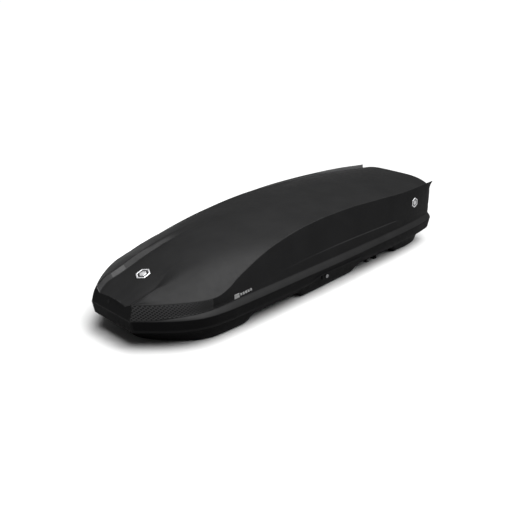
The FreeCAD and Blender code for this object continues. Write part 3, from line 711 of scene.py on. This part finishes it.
def make_lid():
    """The lid's outer and inner skins, their end faces, and the edge that joins the two all round."""
    skin = Skin()
    ts = stations()
    right = [skin.row(outer_ring(t, 1)) for t in ts]
    left = []
    for t, twin in zip(ts, right):
        points = outer_ring(t, -1)
        numbers = skin.row(points[1:])
        left.append([twin[0]] + numbers)
    skin.sheet(right)
    skin.sheet(left, flip=True)
    outer_edges = []
    for end, flip, depth in ((0, False, nose_depth), (-1, True, rear_depth)):
        rows = end_face(skin, left[end], right[end], ROW_CREASE, ROW_BEAD, depth)
        skin.sheet(rows, flip)
        outer_edges.append(rows[-1])
    in_right = [skin.row(inner_ring(t, 1)) for t in ts]
    in_left = []
    for t, twin in zip(ts, in_right):
        points = inner_ring(t, -1)
        in_left.append([twin[0]] + skin.row(points[1:]))
    skin.sheet(in_right, flip=True)
    skin.sheet(in_left)
    inner_edges = []

    def nose_inside(y, z, edge):
        return nose_depth(y, z, edge) + WALL

    def rear_inside(y, z, edge):
        return rear_depth(y, z, edge) - WALL

    for end, flip, depth in ((0, True, nose_inside), (-1, False, rear_inside)):
        rows = end_face(skin, in_left[end], in_right[end], IN_CORNER, IN_BEAD, depth)
        skin.sheet(rows, flip)
        inner_edges.append(rows[-1])
    skin.strip([r[-1] for r in right], [r[-1] for r in in_right])
    skin.strip([r[-1] for r in left], [r[-1] for r in in_left])
    for outer, inner in zip(outer_edges, inner_edges):
        bridge(skin, outer, inner)
    return skin


LID_FINISHES = [LID_BLACK, LID_SIDE_SHADED, INSIDE_BLACK, LID_SKIRT_SHADED]
INSIDE_END = 0.95    # the lid's inside reaches this far from the middle each way, in metres


def lid_finish(face):
    """The material of one of the lid's faces: inside, the skirt, the upright side and nose faces, or
    the rest. The skirt and the side and nose faces take darker copies of the lid's black, as painted
    shade.
    """
    heart = Vector((min(max(face.center.x, -INSIDE_END), INSIDE_END), 0, place(0, 0, 0).z))
    if face.normal.dot(face.center - heart) < 0:
        return INSIDE_BLACK
    s, y, z = unplace(face.center)
    # below the rim line the skirt gets the darkest painted shade
    if z < -1:
        return LID_SKIRT_SHADED
    half = lid_section(s)
    # upright faces of the side and the nose face get the side's painted shade
    upright = abs(face.normal.z) < 0.6 and half[BEAD][1] + 1 < z < half[CREASE][1] - 3
    if upright and (abs(y) > half[CREASE][0] - 8 or face.normal.x < -0.8):
        return LID_SIDE_SHADED
    return LID_BLACK


LID_EDGE = 1.6    # rounding of the lid's sharp edges
lid = mesh_object("lid", make_lid())
round_edges(lid, LID_EDGE)
apply_modifiers(lid)
for material in LID_FINISHES:
    lid.data.materials.append(material)
for face in lid.data.polygons:
    face.material_index = LID_FINISHES.index(lid_finish(face))
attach(lid, "lid")
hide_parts("lid_shell")

# --- Tray ---------------------------------------------------------------------------------

# The tray's outline in plan: s and half width at its upper edge, then at its bottom
TRAY_CORNERS = (
    (62, 60, 106, 28), (66, 118, 116, 60), (92, 168, 140, 98), (140, 222, 182, 158),
    (205, 272, 244, 224), (268, 303, 318, 284), (346, 319, 400, 309), (443, 326, 500, 311),
    (560, 326, 600, 310), (1030, 319, 1030, 298), (1350, 312, 1350, 283), (1770, 298, 1740, 268),
    (1950, 292, 1925, 268), (2062, 280, 2012, 262), (2118, 244, 2072, 226), (2144, 180, 2096, 158),
)
# The raised zones over the roof bars: s where each slope starts and ends
CHANNELS = ((562, 615, 945, 978), (1395, 1470, 1795, 1832))


def outline_at(share):
    """Half width of the tray along s at a level: 0 is its upper edge, 1 its bottom."""
    knots = [(mix(a, c, share), mix(b, d, share)) for a, b, c, d in TRAY_CORNERS]
    return curve(*knots), knots[0][0], knots[-1][0]


LEVELS = 24    # levels at which the tray's outline is worked out
OUTLINES = [outline_at(k / LEVELS) for k in range(LEVELS + 1)]
# z of the tray's underside along its middle, and the gap from the rim in to the tray's flange
belly_line = curve((62, -35), (72, -62), (90, -112), (99, -136), (118, -152), (150, -158),
                   (2050, -158), (2078, -151), (2096, -138), (2112, -106), (2144, -35))
flange_gap = curve((0, 18), (138, 18), (208, 22), (270, 18), (1950, 18), (2060, 22), (2110, 30),
                   (2150, 32))
SOFT = 8.0     # how much further than its slopes' ends a raised zone blends out


def tray_depth(s):
    """z of the tray's underside on the centre plane: sloped ends and raised seats over the bars."""
    z = belly_line(s)
    for a, b, c, d in CHANNELS:
        inside = min(ease(s, a - SOFT, b + SOFT), 1 - ease(s, c - SOFT, d + SOFT))
        z = max(z, mix(z, BAR_SEAT, inside)) if z < BAR_SEAT else z
    return z


def half_width(s, z):
    """Half width of the tray at s and height z, or 0 outside its outline there."""
    share = (TRAY_TOP - z) / (TRAY_TOP - BELLY) * LEVELS
    k = min(int(share), LEVELS - 1)
    widths = []
    for outline, first, last in OUTLINES[k:k + 2]:
        widths.append(outline(s) if first <= s <= last else 0.0)
    return mix(widths[0], widths[1], share - k)


TRAY_WALL_ROWS = 16
TRAY_FLOOR_ROWS = 16
TRAY_FOOT = 34.0    # radius between the tray's walls and its floor


def tray_half(s, side):
    """Half section of the tray: flange, wall, rounded foot and floor, out to in."""
    bottom = tray_depth(s)
    flange_y = rim_y(min(s, END_RING)) - flange_gap(s)
    top_y = max(half_width(s, TRAY_TOP - 0.01), 1.0)
    under = TRAY_TOP - WALL
    points = [Vector((s, side * flange_y, under)), Vector((s, side * mix(flange_y, top_y, 0.5), under))]
    depth = under - bottom
    cut = min(TRAY_FOOT, depth * MOST_CUT)
    wall = []
    for k in range(TRAY_WALL_ROWS + 1):
        z = under - depth * k / TRAY_WALL_ROWS
        wall.append((max(half_width(s, z), 0.0), z))
    foot_y = wall[-1][0]
    wall_y = half_width(s, bottom + cut)
    for y, z in wall:
        rise = z - bottom
        if rise < cut and depth > 1:
            # a quarter round between the wall and the floor
            angle = (1 - rise / cut) * math.pi / 2
            y = wall_y - (wall_y - (foot_y - cut)) * (1 - math.cos(angle))
            z = bottom + cut * (1 - math.sin(angle))
        points.append(Vector((s, side * max(y, 0.5), z)))
    inner = points[-1].y
    for k in range(1, TRAY_FLOOR_ROWS + 1):
        f = k / TRAY_FLOOR_ROWS
        points.append(Vector((s, inner * (1 - f), bottom)))
    return points


def tray_stations():
    """s of the tray's sections: close together where its shape changes."""
    marks = [30, 62.5, 2141.5, 2160]
    for a, b, c, d in CHANNELS:
        marks += [a - 12, b + 12, c - 12, d + 12]
    marks = sorted(marks + [160, 420, 1990])
    out = [30.0]
    for low, high in zip(marks, marks[1:]):
        step = 5.0 if high - low < 130 or low < 160 or low > 1900 else 16.0
        if 160 <= low < 420:
            step = 9.0
        count = max(1, round((high - low) / step))
        out += [mix(low, high, (k + 1) / count) for k in range(count)]
    return out


def make_tray():
    """The tray's outer surface."""
    skin = Skin()
    rows_right, rows_left = [], []
    for s in tray_stations():
        right = tray_half(s, 1)
        left = tray_half(s, -1)
        numbers = skin.row(right)
        rows_right.append(numbers)
        rows_left.append(skin.row(left[:-1]) + [numbers[-1]])
    skin.sheet(rows_right)
    skin.sheet(rows_left, flip=True)
    return skin


tray = mesh_object("tray", make_tray())
if sum(f.normal.z * f.area for f in tray.data.polygons) > 0:
    tray.data.flip_normals()    # an open shell: its faces are to look down and out
shell = tray.modifiers.new("shell", "SOLIDIFY")
shell.thickness = WALL * MM
shell.offset = -1.0
shell.use_even_offset = True
shell.material_offset = 1
# the tray's black carries painted shade
paint(tray, TRAY_BLACK_AND_SHADE)
tray.data.materials.append(INSIDE_BLACK)
apply_modifiers(tray)
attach(tray, "tray")
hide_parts("tray_shell")

# --- Weave ----------------------------------------------------------------------------------

WEAVE_END = 330.0                # s of the film's rear edge
WEAVE_LIFT = (-0.3, 0.7, 0.2)    # how far it stands off the lid: forward, outward and up


def make_weave(side):
    """The textured facet behind the nose corner, a thin film on the lid's own surface."""
    skin = Skin()
    rows = []
    ahead, out, up = WEAVE_LIFT
    for t in stations():
        if t > WEAVE_END:
            break
        points = outer_ring(t, side)[ROW_SHOULDER + 1:ROW_BEAD]
        rows.append(skin.row([p + Vector((ahead, side * out, up)) for p in points]))
    skin.sheet(rows, flip=side < 0)
    ob = mesh_object("weave_left" if side < 0 else "weave_right", skin)
    film = ob.modifiers.new("film", "SOLIDIFY")
    film.thickness = 0.6 * MM
    film.offset = -1.0
    return apply_modifiers(ob)


for side, name in ((-1, "left"), (1, "right")):
    film = paint(make_weave(side), WEAVE)
    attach(film, "lid")
    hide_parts(f"weave_film_{name}")

# --- Badges and stripes ---------------------------------------------------------------------

HEX_EDGE = math.cos(math.pi / 6)    # a hexagon's half width across its flats, for a corner radius of 1


def hex_share(angle, softness=0.12):
    """Radius of a soft-cornered hexagon with two corners on the axis, as a share of its circle."""
    local = (angle + math.pi / 6) % (math.pi / 3) - math.pi / 6
    sharp = HEX_EDGE / math.cos(math.pi / 6 - abs(local))
    return mix(sharp, HEX_EDGE + 0.05, softness)


def turned(name, profile, shape, centre, axis, ahead, turns=96):
    """A piece swept round an axis. profile lists (radius, height) in mm, shape(angle, radius) scales
    the radius, centre is (s, y, z), and ahead is the direction of angle 0."""
    axis = Vector(axis).normalized()
    ahead = (Vector(ahead) - axis * axis.dot(Vector(ahead))).normalized()
    across = axis.cross(ahead)
    skin = Skin()
    rows = []
    for radius, height in profile:
        points = []
        for k in range(turns):
            angle = 2 * math.pi * k / turns
            r = radius * shape(angle, radius)
            points.append(Vector(centre) + axis * height
                          + ahead * (r * math.cos(angle)) + across * (r * math.sin(angle)))
        numbers = skin.row(points)
        rows.append(numbers + numbers[:1])
    skin.sheet(rows)
    return mesh_object(name, skin)


# A badge from its back to its middle: share of its radius, and height
BADGE = ((0, 0), (1.07, 0), (1.07, 0.7), (1.0, 0.8), (0.99, 1.5), (0.95, 2.1), (0.88, 2.4), (0.8, 2.1),
         (0.75, 1.1), (0.74, 1.0), (0.5, 1.0), (0.49, 1.1), (0.47, 1.7), (0.43, 1.9), (0, 1.9))


def make_badge(name, centre, axis, ahead, radius):
    """A plain badge: a raised rim, a dark sunken field and a plain boss, all six-sided."""
    profile = [(share * radius, height) for share, height in BADGE]
    ob = turned(name, profile, lambda angle, r: hex_share(angle), centre, axis, ahead)
    paint(ob, SILVER)
    ob.data.materials.append(PAINTED)
    middle = place(*centre)
    axis = Vector(axis)
    for f in ob.data.polygons:
        reach = (f.center - middle).length / MM / radius
        height = (f.center - middle).dot(axis.normalized()) / MM
        sunken = 0.47 * HEX_EDGE < reach < 0.77 and height < 1.35
        if (sunken and abs(f.normal.dot(axis)) > 0.3) or height < 0.9:
            f.material_index = 1
    return ob


SLOT_OF = {part["node"]: part["material_slot"] for part in frame["record"]["subparts"]}
BODY_OF = {}
for body, nodes in frame["record"]["behaviour"]["bodies"].items():
    BODY_OF.update({node: body for node in nodes})


def finish_piece(ob, node):
    """The piece stands for a CAD node: it rides on that node's body, and the node itself is hidden."""
    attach(ob, BODY_OF[node])
    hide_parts(node)
    return ob


FRONT_BADGE_S = 202.0
FRONT_BADGE_R = 38.0
FRONT_BADGE_LIFT = 1.6    # how far its back stands off the panel's centre line
PANEL_SPAN = (179.0, 229.0)    # the stretch of s that gives the panel's slope at the badge
SIDE_BADGE_S = 1930.0
SIDE_BADGE_R = 30.0
SIDE_BADGE_LIFT = 2.6     # how far its back stands off the straight line down the side


def front_badge():
    """The badge on the hood's panel, square to the panel's slope there."""
    low, high = PANEL_SPAN
    slope = math.atan2(centre_z(high) - centre_z(low), high - low)
    up = (-math.sin(slope), 0, math.cos(slope))
    s, z = FRONT_BADGE_S, centre_z(FRONT_BADGE_S)
    centre = (s + FRONT_BADGE_LIFT * up[0], 0, z + FRONT_BADGE_LIFT * up[2])
    return make_badge("badge_front", centre, up, (1, 0, 0), FRONT_BADGE_R)


def side_badge(name, side):
    """The badge on a side wall near the rear, half way down it and square to it."""
    half = lid_section(SIDE_BADGE_S)
    (high_y, high_z), (low_y, low_z) = half[SHOULDER], half[LINE]
    dy, dz = low_y - high_y, low_z - high_z
    length = math.hypot(dy, dz)
    out = (0, -side * dz / length, dy / length)
    y = side * (high_y + low_y) / 2 + SIDE_BADGE_LIFT * out[1]
    z = (high_z + low_z) / 2 + SIDE_BADGE_LIFT * out[2]
    centre = (SIDE_BADGE_S, y, z)
    return make_badge(name, centre, out, (0, 0, 1), SIDE_BADGE_R)


finish_piece(front_badge(), "front_badge")
for side, name in ((-1, "left"), (1, "right")):
    finish_piece(side_badge(f"badge_{name}", side), f"side_badge_{name}")

# Each stripe's first and last s, and its upper and lower z
STRIPES = ((446, 478, 53, 31), (484, 496, 48, 37), (500, 512, 48, 37), (516, 528, 49, 38),
           (532, 544, 49, 39), (548, 560, 50, 40))
STRIPE_COLUMNS = 4
STRIPE_ROWS = 6


def make_stripes(side):
    """A plain mark low on the side: one block and a row of short bars."""
    skin = Skin()
    for first, last, high, low in STRIPES:
        rows = []
        for k in range(STRIPE_COLUMNS + 1):
            ring = outer_ring(mix(first, last, k / STRIPE_COLUMNS), side)[ROW_SHOULDER:ROW_BEAD]
            row = []
            for m in range(STRIPE_ROWS + 1):
                z = mix(high, low, m / STRIPE_ROWS)
                i = max(j for j in range(len(ring) - 1) if ring[j].z >= z)
                share = (ring[i].z - z) / (ring[i].z - ring[i + 1].z)
                row.append(ring[i].lerp(ring[i + 1], share) + Vector((0, side * 0.6, 0.1)))
            rows.append(skin.row(row))
        skin.sheet(rows, flip=side < 0)
    ob = mesh_object("stripes_left" if side < 0 else "stripes_right", skin)
    film = ob.modifiers.new("film", "SOLIDIFY")
    film.thickness = 0.4 * MM
    film.offset = -1.0
    return paint(apply_modifiers(ob), PRINTED)


finish_piece(make_stripes(-1), "side_decal_left")
finish_piece(make_stripes(1), "side_decal_right")

# --- Fittings -------------------------------------------------------------------------------


def rounded_copy(node, width, material, segments=3, angle=34):
    """A copy of a CAD node with its coplanar faces joined and its edges rounded, in millimetres."""
    source = frame["nodes"][node]
    bm = bmesh.new()
    bm.from_mesh(source.data)
    bmesh.ops.remove_doubles(bm, verts=bm.verts, dist=2e-6)
    bmesh.ops.dissolve_limit(bm, angle_limit=math.radians(1.5), verts=bm.verts, edges=bm.edges)
    for f in bm.faces:
        f.smooth = True
    mesh = bpy.data.meshes.new(node + "_look")
    bm.to_mesh(mesh)
    bm.free()
    ob = bpy.data.objects.new(node + "_look", mesh)
    bpy.context.scene.collection.objects.link(ob)
    bevel = round_edges(ob, width, segments, angle)
    bevel.use_clamp_overlap = True
    bevel.harden_normals = True
    apply_modifiers(ob)
    return finish_piece(paint(ob, material), node)


CLAMP_Y = 232.0
CLAMP_S = {"front": 780.0, "rear": 1632.0}
KNOB_LOW = BAR_SEAT + WALL + 34    # underside of the knobs, above their housings


def lobed(angle, radius):
    """Six soft lobes, which fade out towards the knob's crown."""
    depth = 0.075 * ease(radius, 8, 26)
    return 1 - depth * (1 - math.cos(6 * angle))


# A knob from the middle of its underside to the middle of its top: radius and height
KNOB = ((0, 2), (22, 2), (25, 0), (29, 0), (30, 1), (30.3, 3), (29.6, 14), (28.6, 18), (26.6, 20.6),
        (23.5, 21.8), (19, 22), (17.5, 21.6), (16.8, 20.4), (16.2, 20), (0, 20.6))


def finish_clamp(end, hand):
    """One roof-bar clamp: a new knob, and rounded copies of the rest."""
    name = f"{end}_{hand}"
    centre = (CLAMP_S[end], -CLAMP_Y if hand == "left" else CLAMP_Y, KNOB_LOW)
    knob = turned(f"knob_{name}", KNOB, lobed, centre, (0, 0, 1), (1, 0, 0), 144)
    finish_piece(paint(knob, KNOB_GREY), f"clamp_knob_{name}")
    rounded_copy(f"clamp_housing_{name}", 2.4, TRIM_BLACK, 4)
    rounded_copy(f"clamp_jaw_fore_{name}", 1.2, PAINTED)
    rounded_copy(f"clamp_jaw_aft_{name}", 1.2, PAINTED)
    rounded_copy(f"clamp_spindle_{name}", 0.6, ZINC)


for end in ("front", "rear"):
    for hand in ("left", "right"):
        finish_clamp(end, hand)
for end in ("front", "rear"):
    rounded_copy(f"strut_cylinder_{end}", 0.8, PAINTED)
    rounded_copy(f"strut_rod_{end}", 0.5, CHROME)
    rounded_copy(f"strut_bracket_tray_{end}", 0.7, ZINC)
    rounded_copy(f"strut_bracket_lid_{end}", 0.7, ZINC)
    rounded_copy(f"lid_rib_{end}", 2.0, ALUMINIUM)
for end in ("front", "middle", "rear"):
    rounded_copy(f"hinge_leaf_tray_{end}", 0.5, ZINC)
    rounded_copy(f"hinge_leaf_lid_{end}", 0.5, ZINC)
# the lock housing takes the side's black, with its painted shade
rounded_copy("lock_housing", 2.0, LID_SIDE_SHADED, 4)
rounded_copy("key_cylinder", 0.5, LOCK_FACE)
rounded_copy("lock_bar", 0.8, ZINC)
rounded_copy("lock_bar_guides", 0.4, ZINC)
rounded_copy("strikers", 0.6, ZINC)
for side in ("left", "right"):
    rounded_copy(f"floor_rail_{side}", 0.5, ZINC)

# --- Finish of the CAD nodes that show as they are -----------------------------------------

FINISHES = {
    "badge": SILVER, "decal": PRINTED, "trim_plastic": TRIM_BLACK, "knob": KNOB_GREY, "jaw": PAINTED,
    "rod": CHROME, "cylinder": PAINTED, "key": LOCK_FACE, "rib": ALUMINIUM, "fastener": ZINC,
    # the tray's skin takes the tray's black, with its painted shade
    "zinc_steel": ZINC, "lid_skin": LID_BLACK, "tray_skin": TRAY_BLACK_AND_SHADE, "weave": WEAVE,
}
for node, slot_name in SLOT_OF.items():
    paint(frame["nodes"][node], FINISHES[slot_name])
# the nose plug takes the tray's black, with its painted shade
paint(frame["nodes"]["nose_plug"], TRAY_BLACK_AND_SHADE)    # duller than the other trim

# --- Camera, floor and light ----------------------------------------------------------------

# The camera looks from ahead of the nose, on the near side, and down
camera = bpy.data.objects.new("camera", bpy.data.cameras.new("camera"))
bpy.context.scene.collection.objects.link(camera)
camera.location = (-2.6566, -2.5275, 1.6165)
camera.rotation_euler = [math.radians(a) for a in (67.3452, 0, -44.8995)]
camera.data.lens = 49.846
camera.data.sensor_width = 36.0
bpy.context.scene.camera = camera


FLOOR_HALF = 40.0       # metres
FLOOR_GAP = 0.0005      # just below the box, so that the two don't share a plane


def make_floor():
    """A plain pale floor, larger than any view."""
    bm = bmesh.new()
    for x, y in ((-1, -1), (1, -1), (1, 1), (-1, 1)):
        bm.verts.new((x * FLOOR_HALF, y * FLOOR_HALF, -FLOOR_GAP))
    bm.faces.new(bm.verts)
    mesh = bpy.data.meshes.new("floor")
    bm.to_mesh(mesh)
    bm.free()
    ob = bpy.data.objects.new("floor", mesh)
    bpy.context.scene.collection.objects.link(ob)
    n = Nodes("floor_pale")
    n.link(n.ramp(n.noise(3.0), 0.31, 0.32), n.shader.inputs["Base Color"])
    n.shader.inputs["Roughness"].default_value = 0.9
    n.shader.inputs["Specular IOR Level"].default_value = 0.1
    ob.data.materials.append(n.material)
    return ob


make_floor()


def softbox(name, where, target, size, power):
    """A soft area light at where, turned towards target, in metres and watts."""
    data = bpy.data.lights.new(name, "AREA")
    data.shape = "RECTANGLE"
    data.size, data.size_y = size
    data.energy = power
    ob = bpy.data.objects.new(name, data)
    ob.location = where
    ob.rotation_euler = (Vector(target) - Vector(where)).to_track_quat("-Z", "Y").to_euler()
    bpy.context.scene.collection.objects.link(ob)


sky = bpy.data.lights.new("sky_light", "SUN")
sky.energy = 10.8
sky.angle = math.radians(62)    # wide, so that it is as soft as a diffuser
sky_ob = bpy.data.objects.new("sky_light", sky)
sky_ob.rotation_euler = Vector((0.12, -0.40, 0.91)).to_track_quat("Z", "Y").to_euler()
bpy.context.scene.collection.objects.link(sky_ob)

softbox("front_softbox", (-0.35, -0.15, 2.4), (-0.7, -0.2, 0.25), (1.5, 1.5), 70)
softbox("near_softbox", (-0.9, -1.9, 2.3), (-0.6, -0.2, 0.3), (1.6, 1.0), 48)

world = bpy.data.worlds.new("studio")
world.use_nodes = True
world.node_tree.nodes["Background"].inputs["Color"].default_value = (1, 1, 1, 1)
world.node_tree.nodes["Background"].inputs["Strength"].default_value = 0.16
bpy.context.scene.world = world
bpy.context.scene.view_settings.view_transform = "Standard"
